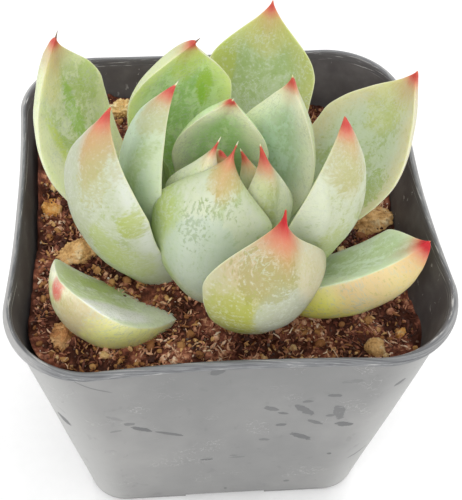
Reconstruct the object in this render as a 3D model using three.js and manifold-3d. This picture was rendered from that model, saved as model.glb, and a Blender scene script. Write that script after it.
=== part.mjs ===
// A potted rosette succulent: thick grey-green leaves with red tips round one short stem,
// planted in gritty soil in a thin square nursery pot. Millimetres, +Z up.
// The origin is the middle of the pot's footprint, on the surface that the pot stands on.
import * as THREE from "three";
import { mergeVertices } from "three/addons/utils/BufferGeometryUtils.js";
import Module from "manifold-3d";

const wasm = await Module();
wasm.setup();

// Pot: a soft square beaker that widens to a thick lip.
const POT_HEIGHT = 59;
const RIM_HALF = 33;
const BASE_HALF = 25.5;
const RIM_CORNER = 12.5;
const BASE_CORNER = 7;
const WALL = 0.9;
const FLOOR = 2;
const LIP_OUT = 0.5;
const LIP_DEEP = 1.4;
const LIP_ROUND = 0.4;
// How far the middle of each side is drawn in at the rim.
const BOW = { right: 1.2, back: 0.2, left: 0.8, front: 0.8 };
// The underside stands on four corner pads, with a cross of shallow channels between them.
const CHANNEL_WIDE = 15;
const CHANNEL_DEEP = 0.9;
const DRAIN_RADIUS = 3.5;
const SIDE_DRAIN_RADIUS = 2;
const SIDE_DRAIN_OUT = 15;
const POT_AROUND = 56;

// Room left round every piece in the space that is cut for it.
const GAP = 0.4;

// Soil: a plug that fills the pot and lies higher on the left than on the right.
const SOIL_MIDDLE = 50;
const SOIL_SLOPE = -0.095;
const SOIL_BUMP = 0.55;
const SOIL_RIPPLE = 0.27;
// A shallow dip in front of the plant, on the right.
const DIP = { x: 14, y: -20, deep: 2.2, reach: 11 };
const SOIL_AROUND = 36;
const SOIL_REACH = 34;
const SOIL_RINGS = [34, 30, 26, 22, 18, 14, 10, 6, 3];

// Stem: buried for most of its length, with a few thick roots.
const CROWN_X = 2;
const CROWN_Y = -4;
const STEM_PROFILE = [
  [0, 36],
  [1.6, 37],
  [2.8, 41],
  [3.4, 46],
  [3.2, 50],
  [2.2, 53],
  [1.1, 55.4],
  [0, 56.2],
];
const STEM_AROUND = 14;
const ROOT_TOP = 40;
const ROOT_RADIUS = 0.8;
const ROOT_THINNING = 0.6;
const ROOT_AROUND = 6;
const ROOT_ALONG = 9;
// Direction in degrees, reach and drop of each root.
const ROOTS = [
  { turn: 40, reach: 12, drop: 17 },
  { turn: 130, reach: 14, drop: 20 },
  { turn: 215, reach: 11, drop: 15 },
  { turn: 305, reach: 13, drop: 22 },
];

// Leaves. Every leaf is a thick lens swept along a spine that bends upwards.
const LEAF_AROUND = 12;
const LEAF_ALONG = 14;
const SPINE_STEPS = 24;
// Width and thickness at the base, as a share of the most.
const BASE_WIDTH = 0.45;
const BASE_THICKNESS = 0.7;
const THICKEST = 0.4;
// The inner face is nearly flat: it holds this share of the thickness.
const INNER_BULGE = 0.18;
const LENS_POWER = 1.24;
// The neck runs back from the base to this distance from the stem's middle.
const NECK_END = 3;
// turn and out place the base round the crown, and up is its height. slope and tipSlope are the
// climb of the spine at its two ends, and sweep is how far it swings round on the way. long, wide
// and thick are the leaf's sizes, cup is how far its margins lift, and roll leans it over. widest
// is where it is broadest, as a share of its length. full and sharp shape the half beyond that,
// and skew sets the right shoulder higher than the left. The leaves come in cutting order: each
// one gives way to those before it.
const LEAF_COMMON = { cup: 1, roll: 0, sweep: 0, widest: 0.55, full: 1.4, sharp: 1.4, skew: 0 };
const LEAVES = {
  leaf_front: {
    turn: 285, out: 8.5, up: 49.5, slope: 25, tipSlope: 122, long: 33, wide: 20.5, thick: 5,
    cup: 2, roll: 26, sweep: -32, widest: 0.65, sharp: 1.8, skew: -0.03,
  },
  leaf_front_left: {
    turn: 243, out: 7.5, up: 49, slope: 48, tipSlope: 153, long: 31, wide: 17.5, thick: 5,
    roll: 16, sweep: -3, widest: 0.65, sharp: 1.8,
  },
  leaf_heart_left: {
    turn: 215, out: 4.5, up: 53, slope: 57, tipSlope: 125, long: 24.5, wide: 12, thick: 3.5,
    roll: 22, sweep: 2, sharp: 1.6,
  },
  leaf_heart_right: {
    turn: 303, out: 3.5, up: 52, slope: 66, tipSlope: 110, long: 25, wide: 12, thick: 4,
    roll: -2, widest: 0.45, sharp: 1.5,
  },
  leaf_heart_middle: {
    turn: 315, out: 2, up: 53.5, slope: 72, tipSlope: 119, long: 19, wide: 9, thick: 3, widest: 0.5,
  },
  leaf_heart_front: {
    turn: 212, out: 2.5, up: 54.5, slope: 80, tipSlope: 96, long: 19, wide: 8, thick: 2.5,
    widest: 0.6, full: 2.4, sharp: 0.7,
  },
  leaf_left: {
    turn: 199, out: 10.5, up: 48.5, slope: 44, tipSlope: 112, long: 41.5, wide: 17, thick: 5.5,
    cup: 1.5, roll: 26, sweep: -9, widest: 0.6,
  },
  leaf_right: {
    turn: 327, out: 6.5, up: 48.5, slope: 55, tipSlope: 100, long: 39, wide: 14, thick: 5,
    roll: -19, sweep: -2, widest: 0.5, sharp: 1,
  },
  leaf_low_right: {
    turn: 315, out: 8, up: 47.5, slope: 26, tipSlope: 56, long: 30.5, wide: 13.5, thick: 6,
    roll: 11, sweep: 43, widest: 0.5, full: 1.9, sharp: 1.2, skew: 0.2,
  },
  leaf_inner_back: {
    turn: 114, out: 3, up: 53, slope: 64, tipSlope: 116, long: 27, wide: 14.5, thick: 4,
    cup: 2, roll: -29, sweep: 4, full: 2, sharp: 1.2,
  },
  leaf_inner_right: {
    turn: 39, out: 3, up: 50.5, slope: 61, tipSlope: 92, long: 30.5, wide: 15, thick: 4,
    cup: 2, roll: 9, sweep: 2, widest: 0.5, full: 2,
  },
  leaf_inner_left: {
    turn: 179, out: 7.5, up: 50.5, slope: 48, tipSlope: 127, long: 36, wide: 14, thick: 4.5,
    roll: 3, sweep: 19, sharp: 1.1,
  },
  leaf_inner_side: {
    turn: 166, out: 9, up: 49.5, slope: 58, tipSlope: 105, long: 20, wide: 9, thick: 4,
    full: 1.6, sharp: 1.2,
  },
  leaf_back_left: {
    turn: 121, out: 6.5, up: 50, slope: 37, tipSlope: 125, long: 37.5, wide: 17, thick: 4.5,
    cup: 2, roll: -22, sweep: 12, widest: 0.6, full: 2.2,
  },
  leaf_outer_right: {
    turn: 18, out: 4, up: 48.5, slope: 28, tipSlope: 74, long: 39, wide: 18.5, thick: 5,
    cup: 2, roll: 9, widest: 0.6, full: 1.8, sharp: 1.3,
  },
  leaf_outer_back: {
    turn: 77, out: 3.5, up: 49, slope: 25, tipSlope: 65, long: 38.5, wide: 18, thick: 5,
    cup: 2, roll: -3, sweep: -4, widest: 0.7, sharp: 1.1,
  },
  leaf_outer_left: {
    turn: 157, out: 12, up: 49.5, slope: 18, tipSlope: 110, long: 42, wide: 17.5, thick: 4.5,
    sweep: -23, full: 1.8, sharp: 1.6, skew: -0.1,
  },
  leaf_low_left: {
    turn: 220, out: 12, up: 45.5, slope: 26, tipSlope: 56, long: 28.5, wide: 15.5, thick: 6.5,
    roll: 6, sweep: -28, widest: 0.65, full: 2.8, sharp: 0.85, skew: -0.15,
  },
};
// The low left leaf has parted from the crown and stands in the soil by itself.
const PARTED_LEAF = "leaf_low_left";

// Grit: pieces of pumice and baked clay, half sunk in the soil.
// Middle across, middle front to back, three sizes, turn in degrees.
const STONE_ROWS = {
  stone_clay_left: [-27.6, 2.9, 3.5, 3.2, 2.8, 20],
  stone_pumice_left: [-27.4, 6.9, 1.8, 1.6, 1.5, 50],
  stone_clay_lump: [-22.6, -6.6, 6.2, 4.6, 3.6, 15],
  stone_pumice_back: [-16.3, 25.6, 3.6, 3.4, 4, 35],
  stone_clay_corner: [-25, -22.4, 3.8, 3, 2.8, 70],
  stone_tan_corner: [22.6, -22.6, 3.1, 3, 2.8, 10],
  stone_clay_small: [25.8, -18, 2, 1.8, 1.6, 40],
  stone_clay_large: [26.2, 2.3, 5.2, 4.6, 4, 60],
  stone_white: [19.9, -4.2, 2, 1.6, 1.6, 80],
};
const STONE_LUMP = 0.16;

const COLOURS = {
  pot: 0x8c8d8b,
  soil: 0x4a3024,
  stem: 0x8a7a52,
  leaf: 0xb4c48c,
  inner: 0x8fae84,
  clay: 0xc08a48,
  pumice: 0xd8bf94,
};

const degrees = (value) => THREE.MathUtils.degToRad(value);
const lerp = THREE.MathUtils.lerp;
const clamp = THREE.MathUtils.clamp;

// A closed three.js geometry as a solid.
function solidOf(geometry) {
  geometry.deleteAttribute("normal");
  geometry.deleteAttribute("uv");
  const merged = mergeVertices(geometry, 1e-3);
  return new wasm.Manifold(
    new wasm.Mesh({
      numProp: 3,
      vertProperties: merged.attributes.position.array,
      triVerts: new Uint32Array(merged.index.array),
    }),
  );
}

// A solid as a named mesh with its own material.
function meshOf(name, solid, colour, roughness) {
  const { vertProperties, triVerts } = solid.getMesh();
  const geometry = new THREE.BufferGeometry();
  geometry.setAttribute("position", new THREE.Float32BufferAttribute(vertProperties, 3));
  geometry.setIndex(Array.from(triVerts));
  geometry.computeVertexNormals();
  const material = new THREE.MeshStandardMaterial({ color: colour, roughness, metalness: 0 });
  const mesh = new THREE.Mesh(geometry, material);
  mesh.name = name;
  return mesh;
}

// Moves every vertex of a geometry to the place that a function gives.
function reshape(geometry, place) {
  const positions = geometry.attributes.position;
  const point = new THREE.Vector3();
  for (let i = 0; i < positions.count; i += 1) {
    point.fromBufferAttribute(positions, i);
    place(point);
    positions.setXYZ(i, point.x, point.y, point.z);
  }
  return geometry;
}

// The largest of the pieces that a cut leaves.
function mainPiece(solid) {
  const pieces = solid.decompose();
  return pieces.sort((a, b) => b.volume() - a.volume())[0];
}

// A point on a soft square, a share of the way round from the middle of the right side.
function softSquare(share, half, corner, bowShare) {
  const quarter = Math.floor(share * 4 + 0.5) % 4;
  const along = (share * 4 + 0.5) % 1;
  const straight = half - corner;
  const arc = (Math.PI / 2) * corner;
  const length = 2 * straight + arc;
  const travelled = (along - 0.5) * length;
  let out = half;
  let side = travelled;
  if (Math.abs(travelled) > straight) {
    const bend = (Math.abs(travelled) - straight) / corner;
    out = straight + corner * Math.cos(bend);
    side = Math.sign(travelled) * (straight + corner * Math.sin(bend));
  }
  const bow = [BOW.right, BOW.back, BOW.left, BOW.front][quarter] * bowShare;
  out -= bow * Math.max(0, 1 - (side / straight) ** 2);
  const turn = (quarter * Math.PI) / 2;
  return [out * Math.cos(turn) - side * Math.sin(turn), out * Math.sin(turn) + side * Math.cos(turn)];
}

// A profile of half widths and heights turned round the soft square.
function turnedSquare(profile, around) {
  const points = profile.map(([half, z]) => new THREE.Vector2(half, z));
  const geometry = new THREE.LatheGeometry(points, around);
  return reshape(geometry, (point) => {
    const half = Math.hypot(point.x, point.z);
    const height = point.y;
    if (half < 1e-6) {
      point.set(0, 0, height);
      return;
    }
    const rise = clamp(height / POT_HEIGHT, 0, 1);
    const inside = Math.min(1, half / lerp(BASE_HALF, RIM_HALF, rise));
    const corner = lerp(BASE_CORNER, RIM_CORNER, rise) * inside;
    const share = (Math.atan2(point.x, point.z) / (2 * Math.PI) + 1) % 1;
    const [x, y] = softSquare(share, half, corner, rise * inside);
    point.set(x, y, height);
  });
}

const outerHalf = (z) => lerp(BASE_HALF, RIM_HALF - LIP_OUT, z / POT_HEIGHT);
const innerHalf = (z) => outerHalf(z) - WALL;

// Pot
const lipBottom = POT_HEIGHT - LIP_DEEP;
const potProfile = [
  [0, 0],
  [BASE_HALF - 0.8, 0],
  [outerHalf(1), 1],
  [outerHalf(lipBottom), lipBottom],
  [RIM_HALF - 0.1, lipBottom + 0.15],
  [RIM_HALF, POT_HEIGHT - LIP_ROUND],
  [RIM_HALF - LIP_ROUND, POT_HEIGHT],
  [innerHalf(POT_HEIGHT) + 0.2, POT_HEIGHT],
  [innerHalf(POT_HEIGHT - 0.4), POT_HEIGHT - 0.4],
  [innerHalf(FLOOR + 1.5), FLOOR + 1.5],
  [innerHalf(FLOOR) - 1.2, FLOOR],
  [0, FLOOR],
];
const channel = solidOf(new THREE.BoxGeometry(4 * BASE_HALF, CHANNEL_WIDE, 2 * CHANNEL_DEEP));
const drain = (radius, x, y) =>
  solidOf(new THREE.CylinderGeometry(radius, radius, 4 * FLOOR, 20).rotateX(Math.PI / 2).translate(x, y, 0));
let potSolid = solidOf(turnedSquare(potProfile, POT_AROUND))
  .subtract(channel)
  .subtract(channel.rotate([0, 0, 90]))
  .subtract(drain(DRAIN_RADIUS, 0, 0));
for (const turn of [0, 90, 180, 270]) {
  const x = SIDE_DRAIN_OUT * Math.cos(degrees(turn));
  const y = SIDE_DRAIN_OUT * Math.sin(degrees(turn));
  potSolid = potSolid.subtract(drain(SIDE_DRAIN_RADIUS, x, y));
}

// Root: a tapering rod along a curve that leaves the stem sideways and turns down.
function rootSolid({ turn, reach, drop }, grow) {
  const away = new THREE.Vector3(Math.cos(degrees(turn)), Math.sin(degrees(turn)), 0);
  const start = new THREE.Vector3(CROWN_X, CROWN_Y, ROOT_TOP);
  const middle = start.clone().addScaledVector(away, reach * 0.6).setZ(ROOT_TOP - drop * 0.3);
  const end = start.clone().addScaledVector(away, reach).setZ(ROOT_TOP - drop);
  const path = new THREE.CatmullRomCurve3([start, middle, end]);
  const up = new THREE.Vector3(0, 0, 1);
  return solidOf(reshape(new THREE.SphereGeometry(1, ROOT_AROUND, ROOT_ALONG), (vertex) => {
    const along = 1 - Math.acos(clamp(vertex.y, -1, 1)) / Math.PI;
    const girth = Math.hypot(vertex.x, vertex.z);
    const rounding = Math.min(1, girth * 1.6);
    const radius = ROOT_RADIUS * lerp(1, ROOT_THINNING, along) * rounding + grow;
    const spread = radius / Math.max(girth, 1e-6);
    const ahead = path.getTangent(along);
    const aside = up.clone().cross(ahead).normalize();
    const over = ahead.clone().cross(aside);
    const overshoot = along === 0 ? -2 * grow : along === 1 ? 2 * grow : 0;
    const [sideways, upwards] = [-vertex.x * spread, vertex.z * spread];
    vertex.copy(path.getPoint(along)).addScaledVector(ahead, overshoot);
    vertex.addScaledVector(aside, sideways).addScaledVector(over, upwards);
  }));
}

// Stem with its roots
function stemSolid(grow) {
  const last = STEM_PROFILE.length - 1;
  const points = STEM_PROFILE.map(([radius, z], i) => {
    const lift = i === 0 ? -grow : i === last ? grow : 0;
    return new THREE.Vector2(radius === 0 ? 0 : radius + grow, z + lift);
  });
  const geometry = new THREE.LatheGeometry(points, STEM_AROUND);
  let solid = solidOf(geometry.rotateX(Math.PI / 2).translate(CROWN_X, CROWN_Y, 0));
  return ROOTS.reduce((whole, root) => whole.add(rootSolid(root, grow)), solid);
}

// Leaf: how wide and how thick it is along its length, as a share of the most.
function widthShare(s, widest, full, sharp) {
  if (s < widest) {
    return BASE_WIDTH + (1 - BASE_WIDTH) * Math.sin((Math.PI / 2) * Math.max(0, s / widest)) ** 1.2;
  }
  const beyond = clamp((s - widest) / (1 - widest), 0, 1);
  return Math.max(0, 1 - beyond ** full) ** sharp;
}

function thicknessShare(s) {
  if (s < THICKEST) {
    return BASE_THICKNESS + (1 - BASE_THICKNESS) * Math.sin((Math.PI / 2) * Math.max(0, s / THICKEST));
  }
  const beyond = clamp((s - THICKEST) / (1 - THICKEST), 0, 1);
  return Math.max(0, 1 - beyond ** 2.4) ** 0.8;
}

// The spine's point and directions a share of the way along; below 0 it runs straight on.
function spineAt(leaf, s) {
  const outward = new THREE.Vector3(Math.cos(degrees(leaf.turn)), Math.sin(degrees(leaf.turn)), 0);
  const point = new THREE.Vector3(CROWN_X, CROWN_Y, leaf.up).addScaledVector(outward, leaf.out);
  const aheadAt = (share) => {
    const slope = degrees(lerp(leaf.slope, leaf.tipSlope, Math.max(0, share)));
    const facing = degrees(leaf.turn + leaf.sweep * Math.max(0, share));
    const level = Math.cos(slope);
    return new THREE.Vector3(level * Math.cos(facing), level * Math.sin(facing), Math.sin(slope));
  };
  for (let i = 0; i < SPINE_STEPS; i += 1) {
    point.addScaledVector(aheadAt((s * (i + 0.5)) / SPINE_STEPS), (s * leaf.long) / SPINE_STEPS);
  }
  const ahead = aheadAt(s);
  const facing = degrees(leaf.turn + leaf.sweep * Math.max(0, s));
  const level = new THREE.Vector3(-Math.sin(facing), Math.cos(facing), 0);
  const lifted = ahead.clone().cross(level);
  const roll = degrees(leaf.roll);
  const aside = level.clone().multiplyScalar(Math.cos(roll)).addScaledVector(lifted, Math.sin(roll));
  const inward = lifted.clone().multiplyScalar(Math.cos(roll)).addScaledVector(level, -Math.sin(roll));
  return { point, ahead, aside, inward };
}

// A ball whose rings of vertices become the leaf's cross sections, from base to tip.
function leafSolid(leaf, grow) {
  const neck = Math.max(0, leaf.out - NECK_END) / Math.cos(degrees(leaf.slope)) / leaf.long;
  const start = leaf.parted ? 0 : -neck;
  return solidOf(reshape(new THREE.SphereGeometry(1, LEAF_AROUND, LEAF_ALONG), (vertex) => {
    const rise = 1 - Math.acos(clamp(vertex.y, -1, 1)) / Math.PI;
    const s = lerp(start, 1, 1 - (1 - rise) ** 1.25);
    const { point, ahead, aside, inward } = spineAt(leaf, s);
    const girth = Math.hypot(vertex.x, vertex.z);
    if (girth < 1e-4) {
      vertex.copy(point).addScaledVector(ahead, rise < 0.5 ? -grow : grow);
      return;
    }
    const x = vertex.x / girth;
    const z = -vertex.z / girth;
    const share = widthShare(s, leaf.widest + Math.sign(x) * leaf.skew, leaf.full, leaf.sharp);
    const bulge = Math.abs(z) ** LENS_POWER * leaf.thick * thicknessShare(s);
    const height = leaf.cup * share * x * x + (z > 0 ? INNER_BULGE * bulge : (INNER_BULGE - 1) * bulge);
    // A margin is a thin edge, so room beside it has to be cut wider than room over a face.
    const sideRoom = grow * (1 + 2 * x ** 4);
    const faceRoom = Math.sign(z) * grow * Math.abs(z) ** 0.6;
    vertex.copy(point).addScaledVector(aside, x * ((leaf.wide / 2) * share + sideRoom));
    vertex.addScaledVector(inward, height + faceRoom);
  }));
}

// Height of the soil at a place in the pot.
function soilTop(x, y) {
  const coarse = Math.sin(x * 0.55 + 1.1 * Math.sin(y * 0.31)) * Math.sin(y * 0.47 + 0.6);
  const fine = Math.sin(x * 1.3 + y * 0.9);
  const dip = DIP.deep * Math.exp(-((x - DIP.x) ** 2 + (y - DIP.y) ** 2) / (2 * DIP.reach ** 2));
  return SOIL_MIDDLE + SOIL_SLOPE * x + SOIL_BUMP * coarse + SOIL_RIPPLE * fine - dip;
}

// Stone: a lumpy ball, sunk a little below its middle.
function stoneSolid(row, seed, grow) {
  const [x, y, wide, deep, high, turn] = row;
  const geometry = new THREE.IcosahedronGeometry(1, 1);
  reshape(geometry, (vertex) => {
    const wave = Math.sin(seed + 3.1 * vertex.x + 2.3 * vertex.z) * Math.cos(2 * seed + 2.7 * vertex.y);
    const lump = 1 + STONE_LUMP * wave;
    vertex.set(
      vertex.x * ((wide / 2) * lump + grow),
      vertex.y * ((deep / 2) * lump + grow),
      vertex.z * ((high / 2) * lump + grow),
    );
  });
  return solidOf(geometry.rotateZ(degrees(turn)).translate(x, y, soilTop(x, y) + 0.12 * high));
}

const plantParts = [];
const grownParts = [];

const stem = stemSolid(0);
plantParts.push(meshOf("stem", stem, COLOURS.stem, 0.8));
let taken = stemSolid(GAP);
grownParts.push(taken);

for (const [name, shape] of Object.entries(LEAVES)) {
  const leaf = { ...LEAF_COMMON, ...shape, parted: name === PARTED_LEAF };
  const solid = mainPiece(leafSolid(leaf, 0).subtract(taken));
  const colour = name.includes("inner") || name.includes("heart") ? COLOURS.inner : COLOURS.leaf;
  plantParts.push(meshOf(name, solid, colour, 0.55));
  const grown = leafSolid(leaf, GAP);
  grownParts.push(grown);
  taken = taken.add(grown);
}

const stoneParts = [];
Object.entries(STONE_ROWS).forEach(([name, row], i) => {
  const solid = mainPiece(stoneSolid(row, i + 1, 0).subtract(taken));
  const colour = name.includes("clay") ? COLOURS.clay : COLOURS.pumice;
  stoneParts.push(meshOf(name, solid, colour, 0.9));
  grownParts.push(stoneSolid(row, i + 1, GAP));
});

// The soil's underside and sides follow the inside of the pot, and its top is a bumpy surface.
const soilBottom = FLOOR + GAP;
const mouldProfile = [
  [0, soilBottom],
  [innerHalf(soilBottom) - 1.8, soilBottom],
  [innerHalf(FLOOR + 2) - GAP, FLOOR + 2],
  [innerHalf(POT_HEIGHT) - GAP, POT_HEIGHT],
  [0, POT_HEIGHT],
];
const topRings = SOIL_RINGS.map((half) => [half, POT_HEIGHT]);
const bumpProfile = [[0, 0], [SOIL_REACH, 0], ...topRings, [0, POT_HEIGHT]];
const bumpyBlock = reshape(turnedSquare(bumpProfile, SOIL_AROUND), (point) => {
  if (point.z > 1) {
    point.z = soilTop(point.x, point.y);
  }
});
const soilBlock = solidOf(turnedSquare(mouldProfile, POT_AROUND)).intersect(solidOf(bumpyBlock));
const soilSolid = mainPiece(grownParts.reduce((rest, grown) => rest.subtract(grown), soilBlock));

const part = new THREE.Group();
part.name = "potted_rosette_succulent";
part.add(meshOf("pot", potSolid, COLOURS.pot, 0.45));
part.add(meshOf("soil", soilSolid, COLOURS.soil, 0.95));
part.add(...plantParts);
part.add(...stoneParts);

export default part;
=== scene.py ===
import math

import bmesh
import bpy
import numpy as np
from mathutils import Matrix, Vector, noise


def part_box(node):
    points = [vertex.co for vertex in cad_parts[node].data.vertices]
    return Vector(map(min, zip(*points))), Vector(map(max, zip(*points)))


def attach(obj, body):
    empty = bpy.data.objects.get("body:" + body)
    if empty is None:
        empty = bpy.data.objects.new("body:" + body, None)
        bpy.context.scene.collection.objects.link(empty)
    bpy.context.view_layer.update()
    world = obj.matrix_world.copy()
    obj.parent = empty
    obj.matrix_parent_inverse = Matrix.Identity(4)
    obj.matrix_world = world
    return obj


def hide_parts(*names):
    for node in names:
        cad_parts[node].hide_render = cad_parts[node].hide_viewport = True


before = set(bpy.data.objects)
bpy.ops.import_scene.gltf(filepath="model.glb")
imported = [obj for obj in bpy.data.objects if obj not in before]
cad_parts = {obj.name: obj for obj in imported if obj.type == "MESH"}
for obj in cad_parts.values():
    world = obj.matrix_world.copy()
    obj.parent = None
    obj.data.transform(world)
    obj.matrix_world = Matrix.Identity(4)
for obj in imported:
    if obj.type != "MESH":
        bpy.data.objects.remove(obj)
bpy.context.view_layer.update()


# The pot
# A thin square nursery pot, moulded in one piece from black-grey plastic. Its outside is a light
# grey that is partly a haze from handling and partly painted reflection of the bright floor and
# light. It widens to a thick lip, and four pads under it leave a cross of channels.
MM = 0.001
POT_HEIGHT = 59
RIM_HALF = 33
BASE_HALF = 25.5
RIM_CORNER = 12.5
BASE_CORNER = 7
WALL = 0.9
RIM_WALL = 0.56
LIP_OUT = 0.5
FLOOR = 2
BOW = (1.2, 0.2, 0.8, 0.8)
POT_AROUND = 288
CHANNEL_HALF = 7.5
CHANNEL_DEEP = 1.6
DRAIN_RADIUS = 3.5
SIDE_DRAIN_RADIUS = 2
SIDE_DRAIN_OUT = 15

# Outside greys: partly a haze film, partly painted reflection of the bright floor and light.
HAZE_AND_SHEEN_DARK = (0.18, 0.181, 0.179)
HAZE_AND_SHEEN_LIGHT = (0.31, 0.306, 0.298)
# Painted sheen on the rounded corners, which are seen at a slant.
CORNER_SHEEN = (0.5, 0.5, 0.49)
BARE_PLASTIC = (0.075, 0.077, 0.08)
INSIDE_PLASTIC = (0.1, 0.092, 0.094)
# A pale dust, also used as painted light on the lip's sides and outer edge.
DUST_AND_SHEEN = (0.55, 0.54, 0.53)
LIP_GREY = (0.22, 0.225, 0.23)
LIP_DARK = (0.1, 0.103, 0.11)
# Flakes where the haze is rubbed off the front: across, height, half length, half width, tilt in
# degrees and strength.
FLAKES = (
    (5.7, 42.2, 1.3, 0.7, -35, 0.8),
    (7.7, 40.2, 0.8, 0.45, -20, 0.9),
    (11.0, 41.2, 2.7, 0.75, -56, 0.9),
    (13.2, 35.9, 1.6, 0.5, -40, 0.9),
    (16.4, 40.3, 2.9, 0.85, -83, 0.8),
    (15.3, 38.7, 0.8, 0.5, 10, 0.8),
    (17.9, 34.9, 1.4, 0.95, -15, 1.0),
    (14.9, 46.7, 1.0, 0.6, -10, 0.9),
    (11.1, 44.6, 0.8, 0.45, 0, 0.8),
    (7.8, 35.3, 0.9, 0.6, -5, 0.9),
    (11.5, 29.8, 2.3, 0.75, -42, 1.0),
    (5.6, 29.0, 1.1, 0.5, -15, 0.7),
    (17.0, 51.9, 1.7, 0.6, 15, 0.35),
    (24.4, 48.9, 0.9, 0.5, 50, 1.0),
    (22.7, 19.2, 2.2, 0.3, 40, 0.8),
    (1.4, 21.0, 1.3, 0.3, 0, 0.6),
    (17.3, 21.1, 0.35, 0.45, 0, 1.0),
    (11.2, 6.9, 0.6, 0.5, 45, 0.8),
    (-16.1, 39.3, 0.8, 0.55, -20, 0.7),
    (-18.1, 42.1, 1.7, 0.4, -45, 0.3),
    (-14.2, 36.6, 1.9, 0.65, -38, 1.0),
    (-18.3, 36.7, 0.9, 0.35, 10, 0.5),
    (-10.0, 33.8, 2.6, 0.45, -30, 0.9),
    (-3.8, 20.6, 1.1, 0.35, 0, 1.0),
    (0.8, 22.0, 0.8, 0.3, 0, 0.6),
    (-2.8, 56.3, 1.2, 0.9, 35, 0.8),
    (-26.4, 36.9, 1.6, 0.7, -70, 1.0),
    (-0.1, 4.3, 0.3, 0.4, 0, 1.0),
)
# A curved hairline scratch below the left end of the front lip.
HAIRLINE = {"left": -23.2, "right": -17.5, "high": 57.2, "drop": 5.2}


class Wire:
    """A socket of a material. A sum on it adds the Math nodes that work it out."""

    def __init__(self, tree, socket=None):
        self.tree = tree
        self.socket = socket

    def node(self, kind, settings, inputs, output=0):
        made = self.tree.nodes.new("ShaderNode" + kind)
        for name, value in settings.items():
            if name == "stops":
                for spare in range(len(value) - 2):
                    made.color_ramp.elements.new(0.5)
                for stop, (place, colour) in zip(made.color_ramp.elements, value):
                    stop.position = place
                    stop.color = (*colour, 1)
            else:
                setattr(made, name, value)
        for name, value in inputs.items():
            if isinstance(value, Wire):
                self.tree.links.new(value.socket, made.inputs[name])
            elif isinstance(value, tuple) and len(made.inputs[name].default_value) == 4:
                made.inputs[name].default_value = (*value, 1)
            else:
                made.inputs[name].default_value = value
        return Wire(self.tree, made.outputs[output])

    def maths(self, operation, *values):
        return self.node("Math", {"operation": operation}, dict(enumerate(values)))

    def __add__(self, other):
        return self.maths("ADD", self, other)

    __radd__ = __add__

    def __sub__(self, other):
        return self.maths("SUBTRACT", self, other)

    def __rsub__(self, other):
        return self.maths("SUBTRACT", other, self)

    def __mul__(self, other):
        return self.maths("MULTIPLY", self, other)

    __rmul__ = __mul__

    def __truediv__(self, other):
        return self.maths("DIVIDE", self, other)

    def __pow__(self, other):
        return self.maths("POWER", self, other)

    def __abs__(self):
        return self.maths("ABSOLUTE", self)

    def most(self, other):
        return self.maths("MAXIMUM", self, other)

    def ease(self, low, high):
        """0 at low and 1 at high, with a soft step between them."""
        inputs = {"Value": self, "From Min": low, "From Max": high}
        return self.node("MapRange", {"interpolation_type": "SMOOTHSTEP"}, inputs)

    def over(self, under, upper):
        """The colour under, covered with the colour upper as far as this mask says."""
        return self.node("Mix", {"data_type": "RGBA"}, {0: self, 6: under, 7: upper}, 2)

    def spread(self, x, y, z):
        """This vector with its three lengths multiplied."""
        return self.node("VectorMath", {"operation": "MULTIPLY"}, {0: self, 1: (x, y, z)})

    def moved(self, other):
        return self.node("VectorMath", {"operation": "ADD"}, {0: self, 1: other})

    def cloud(self, size, detail=2, seed=0, rough=0.5):
        """Noise at this place, with lumps of about this size."""
        inputs = {"Vector": self, "W": seed, "Scale": 1 / size, "Detail": detail, "Roughness": rough}
        return self.node("TexNoise", {"noise_dimensions": "4D"}, inputs)

    def swirled(self, size, reach):
        """This place, carried off by slow eddies, so that what is drawn on it looks streaked."""
        inputs = {"Vector": self, "Scale": 1 / size, "Detail": 2}
        return self.moved(self.node("TexNoise", {}, inputs, "Color").spread(reach, reach, reach))

    def cells(self, size, seed=0):
        """Distance from the middle of the nearest of many scattered cells."""
        inputs = {"Vector": self, "W": seed, "Scale": 1 / size}
        return self.node("TexVoronoi", {"voronoi_dimensions": "4D"}, inputs, "Distance")

    def value(self, name):
        """A number that the mesh holds at each vertex."""
        return self.node("Attribute", {"attribute_name": name}, {}, "Fac")


def new_material(name, **constants):
    """A material, and a wire with which its nodes are made. Constants go on the shader itself."""
    made = bpy.data.materials.new(name)
    made.use_nodes = True
    shader = made.node_tree.nodes["Principled BSDF"]
    for socket, value in constants.items():
        shader.inputs[socket.replace("_", " ")].default_value = value
    return made, Wire(made.node_tree)


def cover(material, colour, roughness, height, deep):
    """Puts the finished colour, roughness and relief on a material's shader."""
    shader = material.node_tree.nodes["Principled BSDF"]
    links = material.node_tree.links
    bump = height.node("Bump", {}, {"Height": height, "Distance": deep, "Strength": 1.0})
    links.new(colour.socket, shader.inputs["Base Color"])
    links.new(roughness.socket, shader.inputs["Roughness"])
    links.new(bump.socket, shader.inputs["Normal"])


def place_of(wire):
    """Where a point is on the object, in millimetres."""
    inside = wire.node("TexCoord", {}, {}, "Object")
    return inside.spread(1 / MM, 1 / MM, 1 / MM)


def joined(x, y, z):
    return x.node("CombineXYZ", {}, {"X": x, "Y": y, "Z": z})


def split(vector):
    return [vector.node("SeparateXYZ", {}, {0: vector}, axis) for axis in range(3)]


def add_mark(mesh, mark, numbers):
    """Puts a named number at each point of a mesh."""
    layer = mesh.attributes.new(mark, "FLOAT", "POINT")
    layer.data.foreach_set("value", np.asarray(numbers, np.float32))


def placed(name, data):
    """A new object in the scene."""
    made = bpy.data.objects.new(name, data)
    bpy.context.scene.collection.objects.link(made)
    return made


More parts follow.
